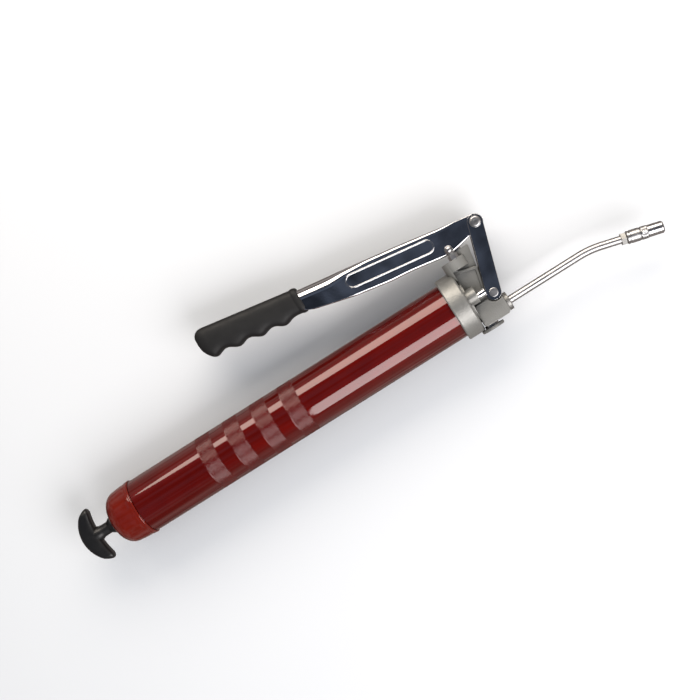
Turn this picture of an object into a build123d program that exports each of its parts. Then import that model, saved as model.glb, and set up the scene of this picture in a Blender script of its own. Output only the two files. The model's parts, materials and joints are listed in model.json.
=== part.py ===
from build123d import *
import os
from math import atan2, cos, degrees, radians, sin

# Lever grease gun, lying on its side. Millimetres.
# +X runs along the barrel axis to the nozzle, +Y points at the lever, +Z is square to the lever.
# The origin is on the barrel axis, in the rear face of the head's collar.

# ---------------------------------------------------------------- driving dimensions
slip = 0.05          # radial clearance of a turned or sliding fit
gap = 0.3            # clearance between bodies that move past each other

barrel_r, barrel_wall, barrel_len = 28.5, 1.2, 364.6     # tube behind the collar
barrel_entry = 13.0                                      # length screwed into the collar
neck_drop, neck_len = 0.9, 11.0                          # rolled thread at the tube's rear end

collar_r, collar_len, bore_depth = 33.0, 18.0, 15.0
groove_r, groove_len = 25.0, 2.2
block_half, web_half, tower_half = 15.0, 11.5, 9.0       # half thicknesses of the casting
block_x0, block_x1, block_bottom = 20.2, 48.4, -30.6
block_top, outlet_top = -8.2, -13.4
tower_x0, tower_top = 25.5, 47.5

link_foot, link_head = (43.3, -5.6), (64.2, 61.5)        # the link's two pivots
link_end_r, link_t, link_z = 7.5, 3.0, 12.0              # end radius, plate, inner face
foot_pin_r, head_pin_r, piston_pin_r = 3.0, 3.5, 3.0
pump_x, piston_pin_y, piston_r = 35.0, 57.0, 4.5
piston_bottom = -11.0
pin_drift, pin_lift = 1.65, 0.8                          # the pin's wander in the piston's slot

outlet_y, outlet_neck_r, outlet_flange_r = -20.4, 5.0, 9.35
outlet_flange_len, outlet_neck_len, pipe_entry = 4.5, 5.0, 6.4
pipe_r, pipe_bore_r, pipe_bend_x, pipe_bend_deg, pipe_bend_r = 4.0, 2.0, 143.0, 14.8, 90.0
coupler_start = 36.8                                     # from the bend's corner

lever_half, lever_t, nose_r, bend_r = 11.5, 2.0, 8.0, 2.6
grip_half, tail_half = 13.0, 9.5

cap_len, cap_lip_r, cap_rim_r, cap_wall = 34.3, 29.8, 28.3, 1.8
rod_r, rod_front = 4.0, -3.0
cup_front, cup_len, plate_t = -9.0, 17.0, 2.0
spring_r, spring_wire_r = 20.0, 1.1

parts_dir = "parts"
os.makedirs(parts_dir, exist_ok=True)


def keep(piece, name):
    """Label a finished piece and write it to its own STEP file."""
    piece.part.label = name
    export_step(piece.part, f"{parts_dir}/{name}.step")


def facing_x(x, y=0.0, z=0.0):
    """A plane square to the barrel, looking to the nozzle."""
    return Plane(origin=(x, y, z), x_dir=(0, 1, 0), z_dir=(1, 0, 0))


def facing_y(x, y, z=0.0):
    """A plane square to the pump piston, looking to the lever."""
    return Plane(origin=(x, y, z), x_dir=(1, 0, 0), z_dir=(0, 1, 0))


# ---------------------------------------------------------------- head casting
shelf_y = 31.0                                   # underside of the loader boss
boss_x, boss_z, boss_r, boss_top = 25.65, 9.0, 11.95, 41.5
nipple_x, nipple_z, oilway_x, oilway_y = 28.4, 16.5, 18.3, 35.0
drum_y, bleed_y, bleed_z, drum_r, drum_x1 = 1.9, -0.5, 19.5, 8.4, 28.1
bleed_shank_r, bleed_bore_x = 2.9, 22.0
gland_r, gland_y = 7.0, 38.0
pump_bottom, seat_x, seat_r = -12.5, 37.2, 1.7
port_neck_r, port_neck_len, port_y = 6.0, 6.0, -15.0
cavity_r, cavity_x = 20.0, 19.0
scallop_r = link_end_r + 1.3
ear_r = 6.2

with BuildPart() as head_casting:
    with BuildSketch(Plane.XY):
        with BuildLine():
            Polyline((0, 0), (0, collar_r - 1), (1, collar_r), (collar_len - 1.5, collar_r),
                     (collar_len, collar_r - 1.5), (collar_len, groove_r),
                     (collar_len + groove_len, groove_r), (collar_len + groove_len, 0), close=True)
        make_face()
    revolve(axis=Axis.X)
    # outlet block, with the cheeks cut back round the link's feet
    with BuildSketch(Plane.XY):
        with BuildLine():
            Polyline((block_x0 - 1, block_bottom + 1.5), (block_x0 + 1, block_bottom),
                     (block_x1 - 2.5, block_bottom), (block_x1, block_bottom + 2.5),
                     (block_x1, outlet_top), (link_foot[0], outlet_top),
                     (link_foot[0], block_top), (block_x0 - 1, block_top), close=True)
        make_face()
    extrude(amount=block_half, both=True)
    with BuildSketch(Plane.XY):
        with Locations(link_foot):
            Circle(scallop_r)
    extrude(amount=block_half + 1, both=True, mode=Mode.SUBTRACT)
    # web between the collar and the link, and the ear for the link's foot pin
    with BuildSketch(Plane.XY):
        with BuildLine():
            Polyline((collar_len - 1, block_top - 4), (collar_len - 1, shelf_y + 1),
                     (40.8, 25.3), (43.2, 24.3), (37.6, 0.5),
                     (37.6, block_top - 4), close=True)
        make_face()
        with Locations(link_foot):
            Circle(ear_r)
        with Locations((link_foot[0] - 1, (link_foot[1] + outlet_top) / 2 - 1)):
            Rectangle(2 * ear_r - 3, link_foot[1] - outlet_top + 2)
    extrude(amount=web_half, both=True)
    # pump tower
    with BuildSketch(Plane.XY):
        with BuildLine():
            Polyline((tower_x0, block_top), (tower_x0, tower_top - 1), (tower_x0 + 1, tower_top),
                     (45.8, tower_top), (46.8, tower_top - 1), (43.3, 26), (44.5, link_foot[1]),
                     (44.5, block_top - 4), (tower_x0, block_top - 4), close=True)
        make_face()
    extrude(amount=tower_half, both=True)
    # loader boss, with its root on the collar
    with BuildSketch(facing_y(boss_x, shelf_y, boss_z)):
        Circle(boss_r)
    extrude(amount=boss_top - shelf_y)
    with BuildSketch(facing_y(boss_x, 22.0, boss_z)):
        Circle(boss_r)
        with Locations((block_x0 - boss_x + boss_r, 0)):
            Rectangle(2 * boss_r, 2 * boss_r + 1, mode=Mode.SUBTRACT)
    extrude(amount=shelf_y - 22.0)
    # drum for the bleed valve
    with BuildSketch(facing_x(collar_len - 1, drum_y, bleed_z)):
        Circle(drum_r)
    extrude(amount=drum_x1 - collar_len + 1)
    # sunk panels that leave a raised rim on both sides of the web
    for side in (1, -1):
        with BuildSketch(Plane.XY.offset(side * web_half)):
            with BuildLine():
                Polyline((collar_len + groove_len, 2), (collar_len + groove_len, 28.6),
                         (39.4, 23.2), (40.4, 21.6), (35.6, 2), close=True)
            make_face()
        extrude(amount=-side * 1.3, mode=Mode.SUBTRACT)
    # barrel socket and grease cavity
    with BuildSketch(facing_x(0)):
        Circle(barrel_r + slip)
    extrude(amount=bore_depth, mode=Mode.SUBTRACT)
    with BuildSketch(facing_x(bore_depth)):
        Circle(cavity_r)
    extrude(amount=cavity_x - bore_depth, mode=Mode.SUBTRACT)
    # pump bore, packing counterbore, drop to the outlet, and the spare port under the cavity
    for x, start, stop, radius in (
        (pump_x, pump_bottom, tower_top, piston_r + slip),
        (pump_x, gland_y, tower_top, gland_r + slip),
        (pump_x, outlet_y - 2, pump_bottom + 1, 2.5),
        (boss_x, block_bottom, block_bottom + port_neck_len, port_neck_r + slip),
        (boss_x, block_bottom, port_y, 2.0),
    ):
        with BuildSketch(facing_y(x, start)):
            Circle(radius)
        extrude(amount=stop - start, mode=Mode.SUBTRACT)
    # inlet port, spare port, outlet port and valve chamber, bleed bore and passages
    for start, stop, y, z, radius in (
        (cavity_x - 1, pump_x, 8.0, 0, 3.0),
        (cavity_x - 1, boss_x, port_y, 0, 2.0),
        (pump_x, block_x1, outlet_y, 0, seat_r),
        (seat_x, block_x1, outlet_y, 0, outlet_neck_r + slip),
        (bleed_bore_x, drum_x1, bleed_y, bleed_z, bleed_shank_r + slip),
        (cavity_x - 1, bleed_bore_x, bleed_y, bleed_z, 0.8),
        (oilway_x, nipple_x, oilway_y, nipple_z, 1.2),
    ):
        with BuildSketch(facing_x(start, y, z)):
            Circle(radius)
        extrude(amount=stop - start, mode=Mode.SUBTRACT)
    # loader thread and the drilling down to the cavity
    for start, stop, x, radius in ((oilway_y - 1, boss_top, nipple_x, 3.0),
                                   (8.0, oilway_y, oilway_x, 1.2)):
        with BuildSketch(facing_y(x, start, nipple_z)):
            Circle(radius)
        extrude(amount=stop - start, mode=Mode.SUBTRACT)
    # foot pin bore
    with BuildSketch(Plane.XY):
        with Locations(link_foot):
            Circle(foot_pin_r + slip)
    extrude(amount=block_half + 1, both=True, mode=Mode.SUBTRACT)
keep(head_casting, "head_casting")

with BuildPart() as barrel_gasket:
    with BuildSketch(facing_x(barrel_entry)):
        Circle(barrel_r - 0.1)
        Circle(barrel_r - 4, mode=Mode.SUBTRACT)
    extrude(amount=bore_depth - barrel_entry)
keep(barrel_gasket, "barrel_gasket")

# ---------------------------------------------------------------- pump
packing_len = 3.5
with BuildPart() as piston_packing:
    with BuildSketch(facing_y(pump_x, gland_y)):
        Circle(gland_r - 0.05)
        Circle(piston_r + slip, mode=Mode.SUBTRACT)
    extrude(amount=packing_len)
keep(piston_packing, "piston_packing")

with BuildPart() as gland_nut:
    with BuildSketch(facing_y(pump_x, gland_y + packing_len)):
        Circle(gland_r)
        Circle(piston_r + slip, mode=Mode.SUBTRACT)
    extrude(amount=tower_top - gland_y - packing_len)
    with BuildSketch(facing_y(pump_x, tower_top - 1.2)):
        Rectangle(2 * gland_r + 1, 2.0)
        Circle(piston_r + slip, mode=Mode.SUBTRACT)
    extrude(amount=1.2, mode=Mode.SUBTRACT)
keep(gland_nut, "gland_nut")

head_low, head_high, head_wide, head_half = 6.5, 8.0, 8.5, 6.5
with BuildPart() as pump_piston:
    with BuildSketch(facing_y(pump_x, piston_bottom)):
        Circle(piston_r)
    extrude(amount=piston_pin_y - head_low - piston_bottom + 1)
    with BuildSketch(Plane.XY):
        with BuildLine():
            Polyline((pump_x - head_wide, piston_pin_y - head_low + 2),
                     (pump_x - head_wide + 2, piston_pin_y - head_low),
                     (pump_x + head_wide - 2, piston_pin_y - head_low),
                     (pump_x + head_wide, piston_pin_y - head_low + 2),
                     (pump_x + head_wide, piston_pin_y + head_high - 3),
                     (pump_x + head_wide - 3, piston_pin_y + head_high),
                     (pump_x - head_wide + 3, piston_pin_y + head_high),
                     (pump_x - head_wide, piston_pin_y + head_high - 3), close=True)
        make_face()
    extrude(amount=head_half, both=True)
    # cross slot that lets the lever's pin wander
    slot_low, slot_high = piston_pin_r + 0.2, piston_pin_r + pin_lift + gap
    with BuildSketch(Plane.XY):
        with Locations((pump_x, piston_pin_y + (slot_high - slot_low) / 2)):
            RectangleRounded(2 * (piston_pin_r + pin_drift + gap), slot_high + slot_low, 2.0)
    extrude(amount=head_half + 1, both=True, mode=Mode.SUBTRACT)
keep(pump_piston, "pump_piston")


# ---------------------------------------------------------------- outlet valve, pipe and spare port
ball_r = 3.0
ball_x = seat_x + (ball_r ** 2 - seat_r ** 2) ** 0.5 + 0.05
pipe_x0 = block_x1 + outlet_flange_len - pipe_entry
with BuildPart() as check_ball:
    with Locations((ball_x, outlet_y, 0)):
        Sphere(ball_r)
keep(check_ball, "check_ball")


def coil(start, length, radius, wire, pitch):
    """A round-wire compression spring along +X from its start point."""
    with BuildPart() as spring:
        with BuildLine() as path:
            Helix(pitch=pitch, height=length, radius=radius, center=start, direction=(1, 0, 0))
        with BuildSketch(Plane(origin=path.line @ 0, z_dir=path.line % 0)):
            Circle(wire)
        sweep(path=path.line, is_frenet=True)
    return spring


check_spring = coil((ball_x + 2.8, outlet_y, 0), pipe_x0 - ball_x - 3.2, 2.3, 0.35, 1.2)
keep(check_spring, "check_spring")

with BuildPart() as outlet_adapter:
    with BuildSketch(facing_x(block_x1 - outlet_neck_len, outlet_y)):
        Circle(outlet_neck_r)
    extrude(amount=outlet_neck_len)
    with BuildSketch(facing_x(block_x1, outlet_y)):
        Circle(outlet_flange_r)
    extrude(amount=outlet_flange_len)
    chamfer(outlet_adapter.edges().filter_by(GeomType.CIRCLE).group_by(SortBy.RADIUS)[-1], 0.6)
    with BuildSketch(facing_x(block_x1 - outlet_neck_len, outlet_y)):
        Circle(3.1)
    extrude(amount=outlet_neck_len + outlet_flange_len, mode=Mode.SUBTRACT)
    with BuildSketch(facing_x(pipe_x0, outlet_y)):
        Circle(pipe_r + 0.02)
    extrude(amount=pipe_entry, mode=Mode.SUBTRACT)
keep(outlet_adapter, "outlet_adapter")

# the coupler's own axis: u runs along it from the pipe's bend
bend = radians(pipe_bend_deg)
coupler_plane = Plane(origin=(pipe_bend_x, outlet_y, 0), x_dir=(cos(bend), -sin(bend), 0), z_dir=(0, 0, 1))
coupler_axis = Axis(coupler_plane.origin, coupler_plane.x_dir)
pipe_end = coupler_start + 9.0


def on_coupler(u):
    """The plane square to the coupler's axis at u."""
    return Plane(origin=coupler_plane.origin + coupler_plane.x_dir * u,
                 x_dir=(0, 0, 1), z_dir=coupler_plane.x_dir)


pipe_tip = on_coupler(pipe_end).origin
with BuildPart() as extension_pipe:
    with BuildLine() as pipe_line:
        FilletPolyline((pipe_x0, outlet_y, 0), (pipe_bend_x, outlet_y, 0),
                       (pipe_tip.X, pipe_tip.Y, 0), radius=pipe_bend_r)
    with BuildSketch(facing_x(pipe_x0, outlet_y)):
        Circle(pipe_r)
        Circle(pipe_bore_r, mode=Mode.SUBTRACT)
    sweep(path=pipe_line.line)
keep(extension_pipe, "extension_pipe")

port_washer_r, washer_t = 7.3, collar_r - abs(block_bottom) + 0.15
with BuildPart() as port_washer:
    with BuildSketch(facing_y(boss_x, block_bottom - washer_t)):
        Circle(port_washer_r)
        Circle(port_neck_r + slip, mode=Mode.SUBTRACT)
    extrude(amount=washer_t)
keep(port_washer, "port_washer")

port_head_r, port_head_len, port_slot = 11.95, 3.0, 2.4
with BuildPart() as port_plug:
    with BuildSketch(facing_y(boss_x, block_bottom - washer_t)):
        Circle(port_neck_r)
    extrude(amount=washer_t + port_neck_len)
    with BuildSketch(facing_y(boss_x, block_bottom - washer_t)):
        Circle(port_head_r)
    extrude(amount=-port_head_len)
    chamfer(port_plug.faces().sort_by(Axis.Y)[0].edges(), 0.8)
    with BuildSketch(facing_y(boss_x, block_bottom - washer_t - port_head_len)):
        Rectangle(14, port_slot)
    extrude(amount=1.4, mode=Mode.SUBTRACT)
keep(port_plug, "port_plug")

# ---------------------------------------------------------------- loader nipple and bleed valve
nipple_af, nipple_ball_y, nipple_ball_r = 8.7, 52.1, 4.2
with BuildPart() as loader_nipple:
    with BuildSketch(facing_y(nipple_x, oilway_y + 1.5, nipple_z)):
        Circle(2.95)
    extrude(amount=boss_top - oilway_y - 1.5)
    with BuildSketch(facing_y(nipple_x, boss_top, nipple_z)):
        RegularPolygon(nipple_af / 2, 6, major_radius=False)
    extrude(amount=5.0)
    with BuildSketch(facing_y(nipple_x, boss_top + 5.0, nipple_z)):
        Circle(3.6)
    extrude(amount=1.6)
    with BuildSketch(facing_y(nipple_x, boss_top + 5.0, nipple_z)):
        Circle(2.7)
    extrude(amount=4.0)
    with Locations((nipple_x, nipple_ball_y, nipple_z)):
        Sphere(nipple_ball_r)
    with BuildSketch(facing_y(nipple_x, oilway_y + 1, nipple_z)):
        Circle(1.3)
    extrude(amount=nipple_ball_y + nipple_ball_r - oilway_y, mode=Mode.SUBTRACT)
keep(loader_nipple, "loader_nipple")

bleed_travel, bleed_knob_r, bleed_x1 = 1.4, 3.85, 36.7
bleed_foot = bleed_bore_x + 2.6
with BuildPart() as bleed_stem:
    with BuildSketch(facing_x(bleed_foot, bleed_y, bleed_z)):
        Circle(bleed_shank_r)
    extrude(amount=bleed_x1 - bleed_foot - 1)
    with BuildSketch(facing_x(drum_x1 + bleed_travel + 0.1, bleed_y, bleed_z)):
        Circle(bleed_knob_r)
    extrude(amount=bleed_x1 - drum_x1 - bleed_travel - 0.1)
    fillet(bleed_stem.faces().sort_by(Axis.X)[-1].edges(), 0.8)
keep(bleed_stem, "bleed_stem")

bleed_spring = coil((bleed_bore_x + 0.35, bleed_y, bleed_z), 1.85, 2.2, 0.3, 0.9)
keep(bleed_spring, "bleed_spring")

# ---------------------------------------------------------------- links and their pins
bolt_head_r, bolt_head_h, rivet_head_r, rivet_head_h = 5.75, 3.2, 4.55, 1.5


def link_plate(side):
    """One flat link, on the side of the lever that the sign says."""
    low = min(side * link_z, side * (link_z + link_t))
    with BuildPart() as plate:
        with BuildSketch(Plane.XY.offset(low)):
            foot, head = Vector(*link_foot), Vector(*link_head)
            middle, along = (foot + head) * 0.5, head - foot
            with Locations((middle.X, middle.Y)):
                SlotCenterToCenter(along.length, 2 * link_end_r, rotation=degrees(atan2(along.Y, along.X)))
            with Locations(link_foot):
                Circle(foot_pin_r + 0.02, mode=Mode.SUBTRACT)
            with Locations(link_head):
                Circle(head_pin_r + 0.02, mode=Mode.SUBTRACT)
        extrude(amount=link_t)
        chamfer(plate.faces().sort_by(Axis.Z)[-1].outer_wire().edges(), 0.3)
        chamfer(plate.faces().sort_by(Axis.Z)[0].outer_wire().edges(), 0.3)
    return plate


for link_name, link_side in (("link_plate_near", 1), ("link_plate_far", -1)):
    keep(link_plate(link_side), link_name)

link_face = link_z + link_t
with BuildPart() as link_bottom_pin:
    with BuildSketch(Plane.XY.offset(-link_face)):
        with Locations(link_foot):
            Circle(foot_pin_r)
    extrude(amount=2 * link_face)
    for side in (1, -1):
        with BuildSketch(Plane.XY.offset(side * link_face)):
            with Locations(link_foot):
                Circle(rivet_head_r)
        extrude(amount=side * rivet_head_h)
    fillet(link_bottom_pin.faces().sort_by(Axis.Z)[-1].edges(), 0.9)
    fillet(link_bottom_pin.faces().sort_by(Axis.Z)[0].edges(), 0.9)
keep(link_bottom_pin, "link_bottom_pin")

nut_t = 4.5
with BuildPart() as link_top_bolt:
    with BuildSketch(Plane.XY.offset(-link_face - nut_t - 0.8)):
        with Locations(link_head):
            Circle(head_pin_r)
    extrude(amount=2 * link_face + nut_t + 0.8)
    with BuildSketch(Plane.XY.offset(link_face)):
        with Locations(link_head):
            Circle(bolt_head_r)
    extrude(amount=bolt_head_h)
    fillet(link_top_bolt.faces().sort_by(Axis.Z)[-1].edges(), 2.4)
    with BuildSketch(Plane.XY.offset(link_face + bolt_head_h)):
        with Locations(link_head):
            RegularPolygon(1.9, 6)
    extrude(amount=-1.8, mode=Mode.SUBTRACT)
keep(link_top_bolt, "link_top_bolt")

with BuildPart() as link_top_nut:
    with BuildSketch(Plane.XY.offset(-link_face)):
        with Locations(link_head):
            RegularPolygon(5.5, 6, major_radius=False)
            Circle(head_pin_r + 0.02, mode=Mode.SUBTRACT)
    extrude(amount=-nut_t)
keep(link_top_nut, "link_top_nut")

# ---------------------------------------------------------------- lever, grip and piston pin
mouth_x, tail_x = -119.0, -221.0
web_x1 = 47.0                                    # the web stops here, ahead are two open cheeks
with BuildPart() as lever:
    with BuildSketch(Plane.XY):
        with BuildLine():
            ThreePointArc((web_x1, 72.3), (-33.0, 86.2), (mouth_x - 1, 98.9))
            Polyline((mouth_x - 1, 98.9), (mouth_x - 1, 76.2), (-111.7, 73.6), (-92.2, 68.5),
                     (-72.7, 63.5), (-33.9, 56.5), (-14.5, 54.6), (26.9, 47.7), (33.7, 48.7),
                     (web_x1, 51.3), (web_x1, 72.3))
        make_face()
    extrude(amount=lever_half, both=True)
    fillet(lever.edges().filter_by(lambda e: e.center().Y > 74 and e.length > 100), bend_r)
    # front cheeks round the link's top bolt
    with BuildSketch(Plane.XY):
        with BuildLine():
            Polyline((web_x1 - 1, 72.3), (web_x1 - 1, 51.1), (52.8, 52.5),
                     (link_head[0] + 1, link_head[1] - nose_r + 0.1),
                     (link_head[0] + 1, link_head[1] + nose_r - 0.1), close=True)
        make_face()
        with Locations(link_head):
            Circle(nose_r)
    extrude(amount=lever_half, both=True)
    # the narrower tail inside the grip
    with BuildSketch(Plane.XY):
        with BuildLine():
            Polyline((mouth_x + 1, 97.6), (tail_x, 115.0), (tail_x, 92.0), (-123, 80.5),
                     (mouth_x + 1, 78.5), close=True)
        make_face()
    extrude(amount=tail_half, both=True)
    # the hollow of the channel
    with BuildSketch(Plane.XY):
        with BuildLine():
            ThreePointArc((web_x1, 72.3 - lever_t), (-33.3, 86.2 - lever_t), (mouth_x - 2, 96.9))
            Polyline((mouth_x - 2, 96.9), (mouth_x - 2, 60), (40, 30), (90, 30), (90, 120),
                     (web_x1, 120), (web_x1, 72.3 - lever_t))
        make_face()
    extrude(amount=lever_half - lever_t, both=True, mode=Mode.SUBTRACT)
    with BuildSketch(Plane.XY):
        with BuildLine():
            Polyline((mouth_x + 2, 95.4), (tail_x - 1, 112.9), (tail_x - 1, 80), (mouth_x + 2, 60),
                     close=True)
        make_face()
    extrude(amount=tail_half - lever_t, both=True, mode=Mode.SUBTRACT)
    with BuildSketch(Plane.XY):
        with Locations(link_head):
            Circle(head_pin_r + slip)
        with Locations((pump_x, piston_pin_y)):
            Circle(piston_pin_r + 0.02)
    extrude(amount=lever_half + 1, both=True, mode=Mode.SUBTRACT)
keep(lever, "lever")

with BuildPart() as piston_pin:
    with BuildSketch(Plane.XY.offset(-lever_half)):
        with Locations((pump_x, piston_pin_y)):
            Circle(piston_pin_r)
    extrude(amount=2 * lever_half)
    chamfer(piston_pin.edges(), 0.4)
keep(piston_pin, "piston_pin")

with BuildPart() as link_spacer:
    with BuildSketch(Plane.XY.offset(-lever_half + lever_t + gap)):
        with Locations(link_head):
            Circle(head_pin_r + 2.2)
            Circle(head_pin_r + slip, mode=Mode.SUBTRACT)
    extrude(amount=2 * (lever_half - lever_t - gap))
keep(link_spacer, "link_spacer")

# ---------------------------------------------------------------- grip
lip_x = -124.7
with BuildPart() as grip:
    with BuildSketch(Plane.XY):
        with BuildLine():
            Polyline((-120.0, 101.4), (-218.0, 119.2))
            ThreePointArc((-218.0, 119.2), (-226.8, 116.8), (-230.0, 108.5))
            Polyline((-230.0, 108.5), (-230.0, 96.0))
            ThreePointArc((-230.0, 96.0), (-227.4, 89.6), (-220.4, 87.2))
            for start, low, stop in (((-220.4, 87.2), (-215.0, 87.0), (-210.4, 88.7)),
                                     ((-210.4, 88.7), (-197.0, 82.8), (-185.5, 85.1)),
                                     ((-185.5, 85.1), (-172.0, 78.6), (-159.6, 81.2)),
                                     ((-159.6, 81.2), (-147.0, 74.9), (-137.0, 78.2)),
                                     ((-137.0, 78.2), (-128.0, 75.6), (-120.0, 76.0))):
                ThreePointArc(start, low, stop)
            Line((-120.0, 76.0), (-120.0, 101.4))
        make_face()
    extrude(amount=grip_half, both=True)
    # raised ring round the mouth
    with BuildSketch(Plane.XY):
        with BuildLine():
            Polyline((mouth_x + 0.4, 101.6), (lip_x, 102.8), (lip_x, 75.0), (mouth_x + 0.4, 74.4),
                     close=True)
        make_face()
    extrude(amount=grip_half + 0.8, both=True)
    # the cavity over the lever's mouth and tail
    with BuildSketch(Plane.XY):
        with BuildLine():
            Polyline((mouth_x + 3, 98.6), (mouth_x - 1.2, 99.1), (mouth_x - 1.2, 75.9),
                     (mouth_x + 3, 74.9), close=True)
        make_face()
    extrude(amount=lever_half + slip, both=True, mode=Mode.SUBTRACT)
    with BuildSketch(Plane.XY):
        with BuildLine():
            Polyline((mouth_x + 1, 97.7), (tail_x - 0.1, 115.1), (tail_x - 0.1, 91.9), (-123, 80.4),
                     (mouth_x + 1, 78.4), close=True)
        make_face()
    extrude(amount=tail_half + slip, both=True, mode=Mode.SUBTRACT)
keep(grip, "grip")

# ---------------------------------------------------------------- barrel and rear cap
cap_end = -barrel_len - cap_len
barrel_end = -barrel_len - neck_len
with BuildPart() as barrel:
    with BuildSketch(Plane.XY):
        with BuildLine():
            Polyline((barrel_entry, barrel_r), (-barrel_len - 1, barrel_r),
                     (-barrel_len - 1 - neck_drop, barrel_r - neck_drop), (barrel_end, barrel_r - neck_drop),
                     (barrel_end, barrel_r - barrel_wall - neck_drop),
                     (-barrel_len - 0.5 - neck_drop, barrel_r - barrel_wall - neck_drop),
                     (-barrel_len - 0.5, barrel_r - barrel_wall),
                     (barrel_entry, barrel_r - barrel_wall), close=True)
        make_face()
    revolve(axis=Axis.X)
keep(barrel, "barrel")

bush_r, bush_flange_r, bush_flange_t, cap_flat_r = 6.0, 8.5, 2.0, 10.0
cap_in_x = cap_end + cap_wall + 0.9
with BuildPart() as rear_cap:
    with BuildSketch(Plane.XY):
        with BuildLine():
            Polyline((-barrel_len, barrel_r + slip), (-barrel_len, cap_lip_r - 0.5),
                     (-barrel_len - 0.5, cap_lip_r), (-barrel_len - 5.5, cap_lip_r - 0.3),
                     (-barrel_len - 6.0, cap_lip_r - 0.7), (cap_end + 13.9, cap_rim_r))
            ThreePointArc((cap_end + 13.9, cap_rim_r), (cap_end + 5.3, 23.7), (cap_end + 1.3, 16.0))
            ThreePointArc((cap_end + 1.3, 16.0), (cap_end + 0.4, 13.0), (cap_end, cap_flat_r))
            Polyline((cap_end, cap_flat_r), (cap_end, bush_r), (cap_in_x, bush_r), (cap_in_x, 12.0))
            ThreePointArc((cap_in_x, 12.0), (cap_end + 6.9, 22.0), (cap_end + 14.9, cap_rim_r - cap_wall))
            Polyline((cap_end + 14.9, cap_rim_r - cap_wall), (barrel_end - 0.2, cap_rim_r - cap_wall),
                     (barrel_end - 0.2, barrel_r - neck_drop + slip),
                     (-barrel_len - 1.2 - neck_drop, barrel_r - neck_drop + slip),
                     (-barrel_len - 1.2, barrel_r + slip), (-barrel_len, barrel_r + slip))
        make_face()
    revolve(axis=Axis.X)
keep(rear_cap, "rear_cap")

with BuildPart() as rod_bushing:
    with BuildSketch(facing_x(cap_end + 0.3)):
        Circle(bush_r - 0.05)
        Circle(rod_r + slip, mode=Mode.SUBTRACT)
    extrude(amount=cap_in_x - cap_end - 0.3)
    with BuildSketch(facing_x(cap_in_x)):
        Circle(bush_flange_r)
        Circle(rod_r + slip, mode=Mode.SUBTRACT)
    extrude(amount=bush_flange_t)
keep(rod_bushing, "rod_bushing")

# ---------------------------------------------------------------- follower, rod and T-handle
inner_r = barrel_r - barrel_wall
cup_back = cup_front - cup_len
with BuildPart() as follower_cup:
    with BuildSketch(Plane.XY):
        with BuildLine():
            Polyline((cup_front, inner_r - slip), (cup_front - 2.2, inner_r - slip),
                     (cup_front - 6.0, inner_r - 3.0), (cup_back + 6.0, inner_r - 3.0),
                     (cup_back + 2.2, inner_r - slip), (cup_back, inner_r - slip),
                     (cup_back, inner_r - 2.2), (cup_back + 4.5, inner_r - 6.0),
                     (cup_back + 4.5, rod_r + slip), (cup_front - 4.5, rod_r + slip),
                     (cup_front - 4.5, inner_r - 6.0), (cup_front, inner_r - 2.2), close=True)
        make_face()
    revolve(axis=Axis.X)
keep(follower_cup, "follower_cup")

plate_back, plate_r = cup_back + 4.5 - plate_t, inner_r - 6.5
with BuildPart() as follower_plate:
    with BuildSketch(facing_x(plate_back)):
        Circle(plate_r)
        Circle(rod_r + slip, mode=Mode.SUBTRACT)
    extrude(amount=plate_t)
keep(follower_plate, "follower_plate")

nut_x0 = cup_front - 4.5 + gap
with BuildPart() as follower_nut:
    with BuildSketch(facing_x(nut_x0)):
        RegularPolygon(6.5, 6, major_radius=False)
        Circle(rod_r + 0.02, mode=Mode.SUBTRACT)
    extrude(amount=6.0)
keep(follower_nut, "follower_nut")

with BuildPart() as rod_collar:
    with BuildSketch(facing_x(plate_back - gap)):
        Circle(7.0)
        Circle(rod_r + 0.02, mode=Mode.SUBTRACT)
    extrude(amount=-4.0)
keep(rod_collar, "rod_collar")

handle_front = cap_end - gap
rod_back = handle_front - 26.8
lobe_x, tip_x, horn_x, belly_x, arm_x = (handle_front - step for step in (23.4, 18.0, 16.3, 18.2, 19.5))
stem_back, stem_front = handle_front - 22.8, handle_front - 8.8
with BuildPart() as follower_rod:
    with BuildSketch(facing_x(rod_back)):
        Circle(rod_r)
    extrude(amount=rod_front - rod_back)
    chamfer(follower_rod.faces().sort_by(Axis.X)[-1].edges(), 0.6)
keep(follower_rod, "follower_rod")

handle_half, span = 7.5, 28.5
with BuildPart() as t_handle:
    with BuildSketch(Plane.XY):
        with BuildLine():
            ThreePointArc((lobe_x, span - 0.6), (handle_front - 37.6, 0), (lobe_x, 0.6 - span))
            ThreePointArc((lobe_x, 0.6 - span), (tip_x, -span), (horn_x, 4.0 - span))
            ThreePointArc((horn_x, 4.0 - span), (belly_x, -14.0), (arm_x, -5.0))
            Line((arm_x, -5.0), (arm_x, 5.0))
            ThreePointArc((arm_x, 5.0), (belly_x, 14.0), (horn_x, span - 4.0))
            ThreePointArc((horn_x, span - 4.0), (tip_x, span), (lobe_x, span - 0.6))
        make_face()
    extrude(amount=handle_half, both=True)
    with BuildSketch(Plane.XY):
        with BuildLine():
            Polyline((stem_back, 0), (stem_back, 6.2), (stem_front, 6.2))
            ThreePointArc((stem_front, 6.2), (handle_front - 3.8, 7.0), (handle_front, 9.0))
            Polyline((handle_front, 9.0), (handle_front, 0), (stem_back, 0))
        make_face()
    revolve(axis=Axis.X)
    with BuildSketch(facing_x(rod_back)):
        Circle(rod_r + 0.02)
    extrude(amount=handle_front - rod_back, mode=Mode.SUBTRACT)
keep(t_handle, "t_handle")

spring_front = plate_back - spring_wire_r - 0.2
spring_back = cap_end + 9.9
follower_spring = coil((spring_back, 0, 0), spring_front - spring_back, spring_r, spring_wire_r, 15.0)
keep(follower_spring, "follower_spring")

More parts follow.
